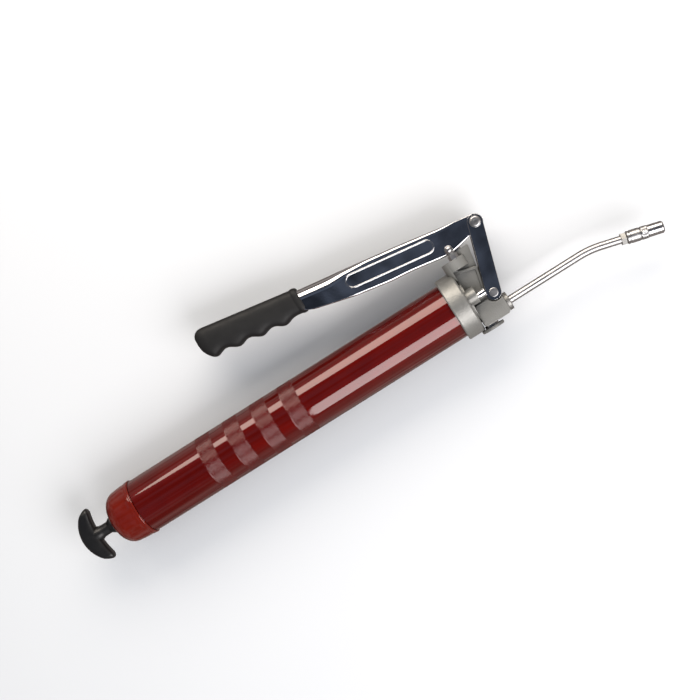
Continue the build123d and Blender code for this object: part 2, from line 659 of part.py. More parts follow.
# ---------------------------------------------------------------- coupler, turned parts about its own axis
nose_len, body_r, thread_r, chamber_r = 22.0, 6.5, 5.0, 3.6
sleeve_end, socket_r, socket_len, jaw_r, jaw_travel = 37.0, 3.35, 5.0, 4.7, 1.6
jaw_bore_r, mouth_set_back = socket_r + 0.25, 0.6     # wider behind the socket, for the seal


def turned(*outline):
    """Revolve an outline of (u, radius) points, u measured from the coupler's rear end."""
    with BuildPart() as piece:
        with BuildSketch(coupler_plane):
            with BuildLine():
                Polyline(*[(coupler_start + u, r) for u, r in outline], close=True)
            make_face()
        revolve(axis=coupler_axis)
    return piece


with BuildPart() as coupler_locknut:
    with BuildSketch(on_coupler(coupler_start - 5.0)):
        RegularPolygon(5.5, 6, major_radius=False)
        Circle(pipe_r + 0.1, mode=Mode.SUBTRACT)
    extrude(amount=4.8)
keep(coupler_locknut, "coupler_locknut")

entry = pipe_end - coupler_start
coupler_body = turned((0, pipe_r + 0.05), (0, body_r - 1.2), (1.2, body_r), (2.6, body_r),
                      (3.0, body_r - 0.5), (3.8, body_r - 0.5), (4.2, body_r), (13.2, body_r),
                      (14.0, body_r - 0.8), (14.0, thread_r), (nose_len, thread_r),
                      (nose_len, chamber_r), (entry + 5, chamber_r), (entry + 5, 1.5),
                      (entry + 0.05, 1.5), (entry + 0.05, pipe_r + 0.05))
keep(coupler_body, "coupler_body")

coupler_sleeve = turned((14.3, thread_r + slip), (14.3, body_r - 0.5), (14.9, body_r + 0.1),
                        (20.9, body_r + 0.1), (21.4, body_r - 0.4), (35.6, body_r - 0.4),
                        (sleeve_end, body_r - 1.5), (sleeve_end, jaw_r + 0.1), (34.0, jaw_r + 0.1),
                        (32.5, thread_r + 0.3), (nose_len + 0.4, thread_r + 0.3),
                        (nose_len + 0.4, thread_r + slip))
keep(coupler_sleeve, "coupler_sleeve")

jaw_back, jaw_front = nose_len + jaw_travel + 0.8, sleeve_end - mouth_set_back
seal_r, seal_front = jaw_bore_r - slip, jaw_front - socket_len
with BuildPart() as coupler_jaws:
    with BuildSketch(coupler_plane):
        with BuildLine():
            Polyline(*[(coupler_start + u, r) for u, r in (
                (jaw_back, jaw_bore_r), (jaw_back, thread_r + 0.1), (31.6, thread_r + 0.1), (33.2, jaw_r),
                (jaw_front - 0.5, jaw_r), (jaw_front, jaw_r - 0.4), (jaw_front, socket_r),
                (seal_front, socket_r), (seal_front, jaw_bore_r))], close=True)
        make_face()
    revolve(axis=coupler_axis)
    # three slits part the collet into jaws, which stay joined at the root
    with BuildSketch(on_coupler(coupler_start + jaw_back + 2.0)):
        with PolarLocations(jaw_r, 3):
            Rectangle(2 * jaw_r, 0.6)
    extrude(amount=sleeve_end - jaw_back, mode=Mode.SUBTRACT)
keep(coupler_jaws, "coupler_jaws")

coupler_seal = turned((jaw_back + 0.2, 1.0), (jaw_back + 0.2, seal_r), (seal_front, seal_r),
                      (seal_front - 0.8, 1.0))
keep(coupler_seal, "coupler_seal")

coil_start = on_coupler(coupler_start + entry + 5.5).origin
with BuildPart() as coupler_spring:
    with BuildLine() as coupler_coil:
        Helix(pitch=2.0, height=jaw_back - entry - 5.9, radius=2.8, center=tuple(coil_start),
              direction=tuple(coupler_plane.x_dir))
    with BuildSketch(Plane(origin=coupler_coil.line @ 0, z_dir=coupler_coil.line % 0)):
        Circle(0.4)
    sweep(path=coupler_coil.line, is_frenet=True)
keep(coupler_spring, "coupler_spring")
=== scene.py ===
import json
import math

import bmesh
import bpy
import numpy as np
from mathutils import Matrix, Vector


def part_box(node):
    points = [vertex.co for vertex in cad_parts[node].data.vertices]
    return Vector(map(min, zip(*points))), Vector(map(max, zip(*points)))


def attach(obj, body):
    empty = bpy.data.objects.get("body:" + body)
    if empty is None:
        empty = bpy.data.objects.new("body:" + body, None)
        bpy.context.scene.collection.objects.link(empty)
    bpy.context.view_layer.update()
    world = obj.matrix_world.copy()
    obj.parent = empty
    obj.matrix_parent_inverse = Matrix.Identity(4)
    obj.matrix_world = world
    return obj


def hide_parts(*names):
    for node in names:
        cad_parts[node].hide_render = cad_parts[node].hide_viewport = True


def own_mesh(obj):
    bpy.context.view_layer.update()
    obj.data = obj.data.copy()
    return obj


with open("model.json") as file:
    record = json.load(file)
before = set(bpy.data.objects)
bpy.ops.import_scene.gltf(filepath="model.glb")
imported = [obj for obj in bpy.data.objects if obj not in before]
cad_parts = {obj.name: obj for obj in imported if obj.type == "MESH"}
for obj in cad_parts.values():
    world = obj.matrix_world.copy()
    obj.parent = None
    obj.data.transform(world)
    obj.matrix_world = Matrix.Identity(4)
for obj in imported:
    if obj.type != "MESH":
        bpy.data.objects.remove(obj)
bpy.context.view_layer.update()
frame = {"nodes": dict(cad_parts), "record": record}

# ================================================================ stage, lights and camera
# The gun lies on its side on a plain pale sheet, between two long soft boxes that run beside it,
# with an even fill from above. The camera looks down on it with the barrel running up to the right.
floor_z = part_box("head_casting")[0][2] - 0.0008


def plain_surface(name, colour, rough):
    """A matt studio surface with a faint cloudy change of tone."""
    mat = bpy.data.materials.new(name)
    mat.use_nodes = True
    nodes, links = mat.node_tree.nodes, mat.node_tree.links
    skin = nodes["Principled BSDF"]
    skin.inputs["Roughness"].default_value = rough
    where = nodes.new("ShaderNodeTexCoord")
    cloud = nodes.new("ShaderNodeTexNoise")
    cloud.inputs["Scale"].default_value = 1.5
    links.new(where.outputs["Object"], cloud.inputs["Vector"])
    tone = nodes.new("ShaderNodeMix")
    tone.data_type = "RGBA"
    tone.inputs["A"].default_value = (*colour, 1)
    tone.inputs["B"].default_value = (*[c * 0.985 for c in colour], 1)
    links.new(cloud.outputs["Fac"], tone.inputs["Factor"])
    links.new(tone.outputs["Result"], skin.inputs["Base Color"])
    return mat


floor_half = 6.0
floor_mesh = bpy.data.meshes.new("floor")
floor_mesh.from_pydata([(-floor_half, -floor_half, floor_z), (floor_half, -floor_half, floor_z),
                        (floor_half, floor_half, floor_z), (-floor_half, floor_half, floor_z)],
                       [], [(0, 1, 2, 3)])
floor = bpy.data.objects.new("floor", floor_mesh)
bpy.context.collection.objects.link(floor)
floor_mesh.materials.append(plain_surface("pale_sheet", (0.50, 0.515, 0.535), 0.9))
floor.visible_glossy = False

# the room: near black overhead, a soft warm grey at the horizon and below
room = bpy.data.worlds.new("dim_room")
room.use_nodes = True
room_nodes, room_links = room.node_tree.nodes, room.node_tree.links
toward = room_nodes.new("ShaderNodeTexCoord")
split = room_nodes.new("ShaderNodeSeparateXYZ")
room_links.new(toward.outputs["Generated"], split.inputs["Vector"])
fade = room_nodes.new("ShaderNodeValToRGB")
fade.color_ramp.elements[0].position, fade.color_ramp.elements[0].color = 0.0, (0.16, 0.14, 0.13, 1)
fade.color_ramp.elements[1].position, fade.color_ramp.elements[1].color = 1.0, (0.034, 0.040, 0.055, 1)
horizon = fade.color_ramp.elements.new(0.35)
horizon.color = (0.13, 0.125, 0.12, 1)
high_wall = fade.color_ramp.elements.new(0.75)
high_wall.color = (0.055, 0.062, 0.08, 1)
room_links.new(split.outputs["Z"], fade.inputs["Fac"])
clutter = room_nodes.new("ShaderNodeTexNoise")
clutter.inputs["Scale"].default_value, clutter.inputs["Detail"].default_value = 4.0, 2.0
room_links.new(toward.outputs["Generated"], clutter.inputs["Vector"])
shade = room_nodes.new("ShaderNodeMapRange")
shade.inputs["From Min"].default_value, shade.inputs["From Max"].default_value = 0.38, 0.66
shade.inputs["To Min"].default_value, shade.inputs["To Max"].default_value = 0.55, 3.4
room_links.new(clutter.outputs["Fac"], shade.inputs["Value"])
room_links.new(fade.outputs["Color"], room_nodes["Background"].inputs["Color"])
room_links.new(shade.outputs["Result"], room_nodes["Background"].inputs["Strength"])
# the ceiling's even fill falls on matt surfaces, and polished ones mirror the dim room
fill = room_nodes.new("ShaderNodeBackground")
fill.inputs["Color"].default_value, fill.inputs["Strength"].default_value = (0.98, 0.99, 1.0, 1), 0.95
ray = room_nodes.new("ShaderNodeLightPath")
either = room_nodes.new("ShaderNodeMixShader")
room_links.new(ray.outputs["Is Diffuse Ray"], either.inputs["Fac"])
room_links.new(room_nodes["Background"].outputs["Background"], either.inputs[1])
room_links.new(fill.outputs["Background"], either.inputs[2])
room_links.new(either.outputs["Shader"], room_nodes["World Output"].inputs["Surface"])
bpy.context.scene.world = room
bpy.context.scene.view_settings.view_transform = "Standard"


def soft_box(name, shape, tilt, distance, wide, long, middle_x, power, colour):
    """A long panel lamp that runs beside the barrel, tilted round it by an angle from overhead."""
    lamp = bpy.data.lights.new(name, "AREA")
    lamp.shape = shape
    lamp.size, lamp.size_y = long, wide
    lamp.energy, lamp.color = power, colour
    lamp_obj = bpy.data.objects.new(name, lamp)
    bpy.context.collection.objects.link(lamp_obj)
    angle = math.radians(tilt)
    lamp_obj.location = (middle_x, distance * math.sin(angle), distance * math.cos(angle))
    lamp_obj.rotation_euler = (-angle, 0, 0)


soft_box("lever_side_box", "ELLIPSE", 55.0, 1.5, 0.92, 2.5, 0.44, 31.0, (1.0, 0.90, 0.79))
soft_box("far_side_box", "RECTANGLE", -43.0, 1.5, 1.00, 1.76, 0.50, 30.0, (1.0, 0.96, 0.95))

camera = bpy.data.cameras.new("camera")
camera_obj = bpy.data.objects.new("camera", camera)
bpy.context.collection.objects.link(camera_obj)
camera.sensor_width, camera.lens = 36.0, 62.4
camera.clip_end = 50.0
lean, slant = math.radians(5.0), math.radians(32.3)
sight = Vector((math.sin(lean), 0, math.cos(lean)))
along_barrel = Vector((math.cos(lean), 0, -math.sin(lean)))
screen_right = math.cos(slant) * along_barrel - math.sin(slant) * Vector((0, 1, 0))
screen_up = math.sin(slant) * along_barrel + math.cos(slant) * Vector((0, 1, 0))
camera_turn = Matrix((screen_right, screen_up, sight)).transposed().to_4x4()
camera_at = (-0.0010, 0.0212, 1.1905)
camera_obj.matrix_world = Matrix.Translation(camera_at) @ camera_turn
bpy.context.scene.camera = camera_obj


# ================================================================ head casting
# One zinc-aluminium die casting: collar, pump tower, outlet block and the ear for the links.
# It keeps the mould's fine grain, with a painted highlight brightening its corners and painted shade
# darkening its hollows.

def cast_or_plated(name, colour, metallic, rough, grain=900.0, grain_height=0.00004, blotch=0.12,
                   edge_highlight=0.0, dark=(0.1, 0.1, 0.1), rough_swing=0.12, streak=None, coat=0.0,
                   coat_rough=0.05, coat_ior=1.5, specular=0.5, wave=0.0, hollow_shade=0.0, bevel=0.0004):
    """A finish on Object coordinates: cloudy colour and gloss, fine grain as bump, softened corners.

    Colour is the base mixed towards `dark` by large noise; gloss is the base plus or minus half of
    `rough_swing` by medium noise. A painted highlight brightens the colour on corners where the
    pointiness is high, and painted shade darkens it in hollows that ambient occlusion finds.
    """
    mat = bpy.data.materials.new(name)
    mat.use_nodes = True
    nodes, links = mat.node_tree.nodes, mat.node_tree.links
    skin = nodes["Principled BSDF"]
    skin.inputs["Metallic"].default_value = metallic
    skin.inputs["Coat Weight"].default_value = coat
    skin.inputs["Coat Roughness"].default_value = coat_rough
    skin.inputs["Coat IOR"].default_value = coat_ior
    skin.inputs["Specular IOR Level"].default_value = specular
    where = nodes.new("ShaderNodeTexCoord")
    stretch = nodes.new("ShaderNodeMapping")
    stretch.inputs["Scale"].default_value = streak or (1, 1, 1)
    links.new(where.outputs["Object"], stretch.inputs["Vector"])

    cloud = nodes.new("ShaderNodeTexNoise")
    cloud.inputs["Scale"].default_value = 55.0
    cloud.inputs["Detail"].default_value = 5.0
    links.new(stretch.outputs["Vector"], cloud.inputs["Vector"])
    tone = nodes.new("ShaderNodeMix")
    tone.data_type = "RGBA"
    tone.inputs["A"].default_value = (*colour, 1)
    tone.inputs["B"].default_value = (*dark, 1)
    share = nodes.new("ShaderNodeMapRange")
    share.inputs["From Min"].default_value, share.inputs["From Max"].default_value = 0.35, 0.8
    share.inputs["To Max"].default_value = blotch
    links.new(cloud.outputs["Fac"], share.inputs["Value"])
    links.new(share.outputs["Result"], tone.inputs["Factor"])
    out_colour = tone.outputs["Result"]
    # painted highlight: the colour turns lighter on sharp corners, where pointiness is high
    if edge_highlight:
        shape = nodes.new("ShaderNodeNewGeometry")
        corner = nodes.new("ShaderNodeMapRange")
        corner.inputs["From Min"].default_value, corner.inputs["From Max"].default_value = 0.52, 0.62
        corner.inputs["To Max"].default_value = edge_highlight
        links.new(shape.outputs["Pointiness"], corner.inputs["Value"])
        painted_edge_highlight = nodes.new("ShaderNodeMix")
        painted_edge_highlight.data_type = "RGBA"
        painted_edge_highlight.inputs["B"].default_value = (*[min(1.0, c * 1.35 + 0.04) for c in colour], 1)
        links.new(corner.outputs["Result"], painted_edge_highlight.inputs["Factor"])
        links.new(out_colour, painted_edge_highlight.inputs["A"])
        out_colour = painted_edge_highlight.outputs["Result"]
    # painted shade: the colour turns darker in hollows and creases that ambient occlusion finds within 7
    # mm
    if hollow_shade:
        near = nodes.new("ShaderNodeAmbientOcclusion")
        near.samples = 6
        near.inputs["Distance"].default_value = 0.007
        hollow_shade_share = nodes.new("ShaderNodeMapRange")
        hollow_shade_share.inputs["From Min"].default_value, hollow_shade_share.inputs["From Max"].default_value = 0.35, 0.85
        hollow_shade_share.inputs["To Min"].default_value, hollow_shade_share.inputs["To Max"].default_value = hollow_shade, 0.0
        links.new(near.outputs["AO"], hollow_shade_share.inputs["Value"])
        painted_hollow_shade = nodes.new("ShaderNodeMix")
        painted_hollow_shade.data_type = "RGBA"
        painted_hollow_shade.inputs["B"].default_value = (*[c * 0.22 for c in colour], 1)
        links.new(hollow_shade_share.outputs["Result"], painted_hollow_shade.inputs["Factor"])
        links.new(out_colour, painted_hollow_shade.inputs["A"])
        out_colour = painted_hollow_shade.outputs["Result"]
    links.new(out_colour, skin.inputs["Base Color"])

    patch = nodes.new("ShaderNodeTexNoise")
    patch.inputs["Scale"].default_value = 140.0
    patch.inputs["Detail"].default_value = 6.0
    links.new(stretch.outputs["Vector"], patch.inputs["Vector"])
    gloss = nodes.new("ShaderNodeMapRange")
    gloss.inputs["From Min"].default_value, gloss.inputs["From Max"].default_value = 0.3, 0.7
    gloss.inputs["To Min"].default_value = max(0.02, rough - rough_swing / 2)
    gloss.inputs["To Max"].default_value = rough + rough_swing / 2
    links.new(patch.outputs["Fac"], gloss.inputs["Value"])
    links.new(gloss.outputs["Result"], skin.inputs["Roughness"])

    fine = nodes.new("ShaderNodeTexNoise")
    fine.inputs["Scale"].default_value = grain
    fine.inputs["Detail"].default_value = 3.0
    links.new(stretch.outputs["Vector"], fine.inputs["Vector"])
    bump = nodes.new("ShaderNodeBump")
    bump.inputs["Strength"].default_value = 0.6
    bump.inputs["Distance"].default_value = grain_height
    links.new(fine.outputs["Fac"], bump.inputs["Height"])
    if wave:
        slow = nodes.new("ShaderNodeTexNoise")
        slow.inputs["Scale"].default_value = 26.0
        slow.inputs["Detail"].default_value = 1.0
        links.new(stretch.outputs["Vector"], slow.inputs["Vector"])
        swell = nodes.new("ShaderNodeBump")
        swell.inputs["Strength"].default_value = 1.0
        swell.inputs["Distance"].default_value = wave
        links.new(slow.outputs["Fac"], swell.inputs["Height"])
        links.new(swell.outputs["Normal"], bump.inputs["Normal"])
        bump_normal = swell.inputs["Normal"]
    else:
        bump_normal = bump.inputs["Normal"]
    if bevel:
        soft = nodes.new("ShaderNodeBevel")
        soft.samples = 4
        soft.inputs["Radius"].default_value = bevel
        links.new(soft.outputs["Normal"], bump_normal)
    links.new(bump.outputs["Normal"], skin.inputs["Normal"])
    return mat


def dress(mat, *node_names):
    """Give CAD nodes this finish in every material slot."""
    for node_name in node_names:
        part = frame["nodes"][node_name]
        if not part.material_slots:
            part.data.materials.append(mat)
        for part_slot in part.material_slots:
            part_slot.material = mat


# the casting's corners carry a painted highlight and its hollows carry painted shade
die_cast = cast_or_plated("die_cast", (0.215, 0.215, 0.204), 0.60, 0.38, grain=800.0,
                          grain_height=0.00042, blotch=0.45, edge_highlight=0.5, dark=(0.15, 0.145, 0.13),
                          hollow_shade=0.75, bevel=0.0007)
dress(die_cast, "head_casting", "port_plug")


# ================================================================ barrel
# A drawn steel tube under glossy deep red lacquer. Four bands are rolled with a diamond knurl for
# grip; its ends are screwed into the collar and the rear cap.

def ring_mesh(name, points, closed_path=True, faceted=None):
    """A mesh from an array (path, round, 3): quads between neighbours, closed round and, if asked,
    along the path.

    Rows marked in `faceted` are knurled: each quad is parted along the line between its low corners
    and keeps flat faces. The other rows are shaded smooth.
    """
    rows, cols = points.shape[:2]
    index = np.arange(rows * cols).reshape(rows, cols)
    last = rows if closed_path else rows - 1
    a = index[np.arange(last)]
    b = index[(np.arange(last) + 1) % rows]
    a_next, b_next = np.roll(a, -1, 1), np.roll(b, -1, 1)
    pyramid = np.zeros(last, bool)
    if faceted is not None:
        pyramid[:len(faceted)] = faceted
    quads = np.stack([a, b, b_next, a_next], -1)[~pyramid].reshape(-1, 4)
    high_first = ((np.arange(last)[:, None] + np.arange(cols)) % 2 == 1)[..., None]
    one = np.where(high_first, np.stack([a, b, a_next], -1), np.stack([a, b, b_next], -1))
    two = np.where(high_first, np.stack([b, b_next, a_next], -1), np.stack([a, b_next, a_next], -1))
    facets = np.concatenate([one[pyramid], two[pyramid]]).reshape(-1, 3)
    mesh = bpy.data.meshes.new(name)
    mesh.from_pydata(points.reshape(-1, 3).tolist(), [], quads.tolist() + facets.tolist())
    mesh.polygons.foreach_set("use_smooth", np.arange(len(mesh.polygons)) < len(quads))
    mesh.update()
    return mesh


def place(name, mesh, mat, body, slot, *stands_for, sharp=None):
    """Link a finished mesh, give it its finish, and hand it to its body."""
    piece = bpy.data.objects.new(name, mesh)
    bpy.context.collection.objects.link(piece)
    mesh.materials.append(mat)
    if sharp is not None:
        smooth = np.empty(len(mesh.polygons), bool)
        mesh.polygons.foreach_get("use_smooth", smooth)
        mesh.set_sharp_from_angle(angle=math.radians(sharp))
        mesh.polygons.foreach_set("use_smooth", smooth)
    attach(piece, body)
    if stands_for:
        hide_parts(*stands_for)
    return piece


def turned(x, radius, steps, offset=0.0):
    """Points of a profile turned about the X axis: (x, (r + offset) cos a, (r + offset) sin a)."""
    a = np.arange(steps) * 2 * np.pi / steps
    r = radius[:, None] + offset
    r = np.broadcast_to(r, (len(x), steps))
    return np.stack([np.broadcast_to(x[:, None], r.shape), r * np.cos(a), r * np.sin(a)], -1)


barrel_low, barrel_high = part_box("barrel")
tube_r = barrel_high[1]
tube_wall = 0.0012
neck_r = tube_r - 0.0009
knurl_pitch, knurl_height = 0.0016, 0.00016
band_width, band_first, band_step, band_count = 0.0173, -0.2835, 0.0322, 4
tube_steps = int(2 * round(2 * np.pi * tube_r / knurl_pitch))
neck_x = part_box("rear_cap")[1][0] + 0.0008

# Outside: x runs back from the head, coarse where plain and one row per half pitch in a band. Every
# other point of a band, like a chessboard, stands one knurl height above its neighbours.
stations, knurled = [barrel_high[0]], [0.0]
for band in range(band_count - 1, -1, -1):
    start, stop = band_first + band * band_step, band_first + band * band_step + band_width
    plain = np.linspace(stations[-1], stop, 8)[1:]
    rows = np.linspace(stop, start, int(2 * round(band_width / knurl_pitch)) + 1)
    stations += list(plain) + list(rows[1:-1]) + [start]
    knurled += [0.0] * len(plain) + [1.0] * (len(rows) - 2) + [0.0]
stations += list(np.linspace(stations[-1], neck_x, 10)[1:])
knurled += [0.0] * 9
outer_x, knurled = np.array(stations), np.array(knurled)
row, col = np.meshgrid(np.arange(len(outer_x)), np.arange(tube_steps), indexing="ij")
raised = ((row + col) % 2) * knurled[:, None] * knurl_height
outside = turned(outer_x, np.full(len(outer_x), tube_r - knurl_height), tube_steps,
                 raised + (1 - knurled[:, None]) * knurl_height)
inner_x = np.array([neck_x - 0.0009, barrel_low[0], barrel_low[0], neck_x - 0.0005, neck_x,
                    -0.20, -0.05, barrel_high[0]])
inner_r = np.array([neck_r, neck_r, neck_r - tube_wall, neck_r - tube_wall, tube_r - tube_wall,
                    tube_r - tube_wall, tube_r - tube_wall, tube_r - tube_wall])
inside = turned(inner_x, inner_r, tube_steps)
red_lacquer = cast_or_plated("red_lacquer", (0.092, 0.0026, 0.0012), 0.40, 0.36, grain=260.0,
                             grain_height=0.00001, blotch=0.4, dark=(0.045, 0.0012, 0.0014),
                             rough_swing=0.05, coat=1.0, coat_rough=0.03, coat_ior=1.62,
                             specular=0.0, bevel=0)
# the knurled bands are also scuffed: a fine grain that only the bands carry, found from x
nodes, links = red_lacquer.node_tree.nodes, red_lacquer.node_tree.links
skin, place_x = nodes["Principled BSDF"], nodes.new("ShaderNodeSeparateXYZ")
links.new(nodes["Texture Coordinate"].outputs["Object"], place_x.inputs["Vector"])


def sum_node(kind, first, second):
    """One arithmetic node; a number or a socket on either side."""
    node = nodes.new("ShaderNodeMath")
    node.operation = kind
    for side, value in enumerate((first, second)):
        if isinstance(value, float):
            node.inputs[side].default_value = value
        else:
            links.new(value, node.inputs[side])
    return node.outputs["Value"]


from_first = sum_node("SUBTRACT", place_x.outputs["X"], band_first)
within = sum_node("LESS_THAN", sum_node("FLOORED_MODULO", from_first, band_step), band_width)
after = sum_node("GREATER_THAN", from_first, 0.0)
before = sum_node("LESS_THAN", from_first, band_step * band_count)
in_bands = sum_node("MULTIPLY", sum_node("MULTIPLY", within, after), before)
scuff = nodes.new("ShaderNodeTexNoise")
scuff.inputs["Scale"].default_value, scuff.inputs["Detail"].default_value = 1500.0, 2.0
links.new(nodes["Texture Coordinate"].outputs["Object"], scuff.inputs["Vector"])
worn = nodes.new("ShaderNodeBump")
worn.inputs["Distance"].default_value = 0.00013
links.new(in_bands, worn.inputs["Strength"])
links.new(scuff.outputs["Fac"], worn.inputs["Height"])
links.new(worn.outputs["Normal"], nodes["Bump"].inputs["Normal"])
links.new(nodes["Bump"].outputs["Normal"], skin.inputs["Coat Normal"])
in_band = (knurled[:-1] + knurled[1:]) > 0
tube = ring_mesh("barrel_tube", np.concatenate([outside, inside]), faceted=in_band)
place("barrel_tube", tube, red_lacquer, "gun", "red_paint", "barrel", sharp=38)

# ================================================================ rear cap
# A deep-drawn steel cap, lacquered with the tube. Its rim is rolled to a small lip and its end is
# lightly crowned, with a brass bush for the rod.
cap_low, cap_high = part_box("rear_cap")
rim_x, end_x, lip_r = cap_high[0], cap_low[0], cap_high[1]
bush_hole, crown_r, lip_round = 0.0060, 0.0100, 0.0011
# Outside: a half-round lip, a skirt that narrows a little, and a quarter turn from the skirt's edge
# in to the crown: x = x0 - a sin t, r = crown + b cos t. Inside, the same turn a wall further in.
lip = np.radians(np.linspace(-90, 90, 9))
lip_x = rim_x - lip_round + lip_round * np.sin(lip)
lip_rr = lip_r - lip_round + lip_round * np.cos(lip)
cap_x = np.concatenate([[rim_x - 0.0002], lip_x, rim_x - np.array([0.0036, 0.0050]),
                        np.linspace(rim_x - 0.0075, rim_x - 0.0185, 8)])
cap_r = np.concatenate([[neck_r + 0.0001], lip_rr, [lip_r - 0.0002, lip_r - 0.0006],
                        lip_r - 0.0008 - 0.0009 * np.linspace(0, 1, 8) ** 1.6])
shoulder = np.radians(np.linspace(0, 90, 22)[1:])
shoulder_x0, shoulder_r0 = cap_x[-1], cap_r[-1]
round_x, round_r = shoulder_x0 - end_x - 0.0006, shoulder_r0 - crown_r
cap_x = np.concatenate([cap_x, shoulder_x0 - round_x * np.sin(shoulder),
                        [end_x + 0.0002, end_x, end_x, end_x + 0.0027]])
cap_r = np.concatenate([cap_r, crown_r + round_r * np.cos(shoulder) ** 0.92,
                        [0.0092, 0.0080, bush_hole, bush_hole]])
back = np.radians(np.linspace(90, 0, 14))
cap_x = np.concatenate([cap_x, shoulder_x0 - (round_x - 0.0021) * np.sin(back),
                        [rim_x - 0.0005]])
cap_r = np.concatenate([cap_r, crown_r + (round_r - 0.0018) * np.cos(back) ** 0.92,
                        [neck_r + 0.0001]])
cap_lacquer = cast_or_plated("cap_lacquer", (0.135, 0.0085, 0.0040), 0.25, 0.40, grain=260.0,
                             grain_height=0.00002, blotch=0.5, dark=(0.07, 0.003, 0.0015),
                             rough_swing=0.08, coat=1.0, coat_rough=0.06, coat_ior=1.5,
                             specular=0.0, wave=0.0006, bevel=0)
place("rear_cap_shell", ring_mesh("rear_cap_shell", turned(cap_x, cap_r, 128)), cap_lacquer,
      "gun", "red_paint", "rear_cap", sharp=50)

# ================================================================ T-handle
# Moulded in semi-matt black plastic on the end of the rod: a flared skirt, a round stem and a
# crescent that two fingers hook behind.
handle_low, handle_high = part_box("t_handle")
skirt_x, back_x, span = handle_high[0], handle_low[0], handle_high[1] - 0.0006
stem_r, skirt_r, rod_hole = 0.0062, 0.0090, 0.0042
crescent_r, hook_x, stem_foot = 0.0350, -0.4187, -0.4220
tip_len, bar_half_z = 0.0060, 0.0075
across, around = 61, 48
# The bar: at each y across the hand its back lies on a circle and its front on a shallow parabola.
# The section between them is a rounded square, x^3.6 + z^3.6 = 1, and closes to a round tip.
t = np.sin(np.linspace(-np.pi / 2, np.pi / 2, across))
y = span * t
outer_arc = back_x + crescent_r - np.sqrt(crescent_r ** 2 - y ** 2)
inner_arc = hook_x + 0.0034 * (np.abs(y) / 0.0255) ** 2
past_tip = np.clip(np.abs(y) - (span - tip_len), 0, None) / tip_len
tip = np.sqrt(np.clip(1 - past_tip ** 2, 0.0004, 1))
mid_x, half_x = (outer_arc + inner_arc) / 2, (inner_arc - outer_arc) / 2 * tip
half_z = bar_half_z * (1 - 0.10 * t ** 2) * tip ** 0.8
v = np.arange(around) * 2 * np.pi / around
corner = 2 / 3.6
cross_x = np.sign(np.cos(v)) * np.abs(np.cos(v)) ** corner
cross_z = np.sign(np.sin(v)) * np.abs(np.sin(v)) ** corner
crescent = np.stack([mid_x[:, None] + half_x[:, None] * cross_x, np.repeat(y[:, None], around, 1),
                     half_z[:, None] * cross_z], -1)
black_plastic = cast_or_plated("black_plastic", (0.006, 0.006, 0.0065), 0.0, 0.36, grain=2200.0,
                               grain_height=0.00003, blotch=0.4, dark=(0.011, 0.011, 0.011), bevel=0)


def capped(mesh):
    """Close the open first and last rings of a lofted mesh with fans, and point its faces outwards."""
    form = bmesh.new()
    form.from_mesh(mesh)
    bmesh.ops.holes_fill(form, edges=[e for e in form.edges if e.is_boundary], sides=0)
    bmesh.ops.recalc_face_normals(form, faces=form.faces)
    form.to_mesh(mesh)
    form.free()
    mesh.polygons.foreach_set("use_smooth", np.ones(len(mesh.polygons), bool))
    return mesh


place("t_handle_bar", capped(ring_mesh("t_handle_bar", crescent, closed_path=False)), black_plastic,
      "rod", "black_plastic", "t_handle")
# the stem: a straight skirt, a flare down to the stem, and a foot that spreads into the bar
flare = np.linspace(0, 1, 12)
stem_x = np.concatenate([[skirt_x, skirt_x, skirt_x - 0.0006], skirt_x - 0.0025 - 0.0042 * flare,
                         stem_foot + np.array([0.0095, 0.0070, 0.0048, 0, 0])])
stem_rr = np.concatenate([[rod_hole, skirt_r - 0.0004, skirt_r],
                          stem_r + (skirt_r - stem_r) * (1 - flare) ** 0.9,
                          [stem_r, stem_r + 0.0003, stem_r + 0.0013, stem_r + 0.0013, rod_hole]])
place("t_handle_stem", ring_mesh("t_handle_stem", turned(stem_x, stem_rr, 64)), black_plastic,
      "rod", "black_plastic", sharp=40)

# ================================================================ rod, bush and follower
# Inside the tube: a ground steel rod through a brass bush, and a rubber follower cup held on a steel
# plate between a nut and a collar. The small plated and turned fittings share these finishes.
ground_steel = cast_or_plated("ground_steel", (0.60, 0.60, 0.61), 1.0, 0.24, grain=900.0,
                              grain_height=0.00001, streak=(0.2, 1, 1), blotch=0.15,
                              dark=(0.4, 0.4, 0.4))
brass = cast_or_plated("turned_brass", (0.76, 0.55, 0.24), 1.0, 0.30, blotch=0.3,
                       dark=(0.45, 0.30, 0.12))
spring_wire = cast_or_plated("spring_wire", (0.40, 0.40, 0.42), 1.0, 0.35, blotch=0.3,
                             dark=(0.2, 0.2, 0.2))
nitrile = cast_or_plated("nitrile", (0.03, 0.03, 0.03), 0.0, 0.6, blotch=0.3,
                         dark=(0.05, 0.05, 0.05))
zinc_plate = cast_or_plated("zinc_plate", (0.50, 0.50, 0.505), 1.0, 0.34, grain=700.0,
                            grain_height=0.00002, blotch=0.25, dark=(0.26, 0.26, 0.25),
                            rough_swing=0.12, bevel=0.0003)
dress(ground_steel, "follower_rod", "pump_piston", "check_ball", "link_spacer")
dress(brass, "rod_bushing")
dress(spring_wire, "check_spring")
dress(nitrile, "follower_cup", "barrel_gasket", "piston_packing", "coupler_seal")
dull_zinc = cast_or_plated("dull_zinc", (0.30, 0.30, 0.29), 0.9, 0.46, grain=900.0, grain_height=0.00005,
                           blotch=0.35, dark=(0.17, 0.17, 0.16))
dress(dull_zinc, "outlet_adapter", "coupler_locknut", "gland_nut")
dress(zinc_plate, "follower_plate", "follower_nut", "rod_collar",
      "port_washer", "loader_nipple", "extension_pipe", "coupler_body",
      "link_top_bolt", "link_top_nut", "link_bottom_pin", "coupler_jaws")

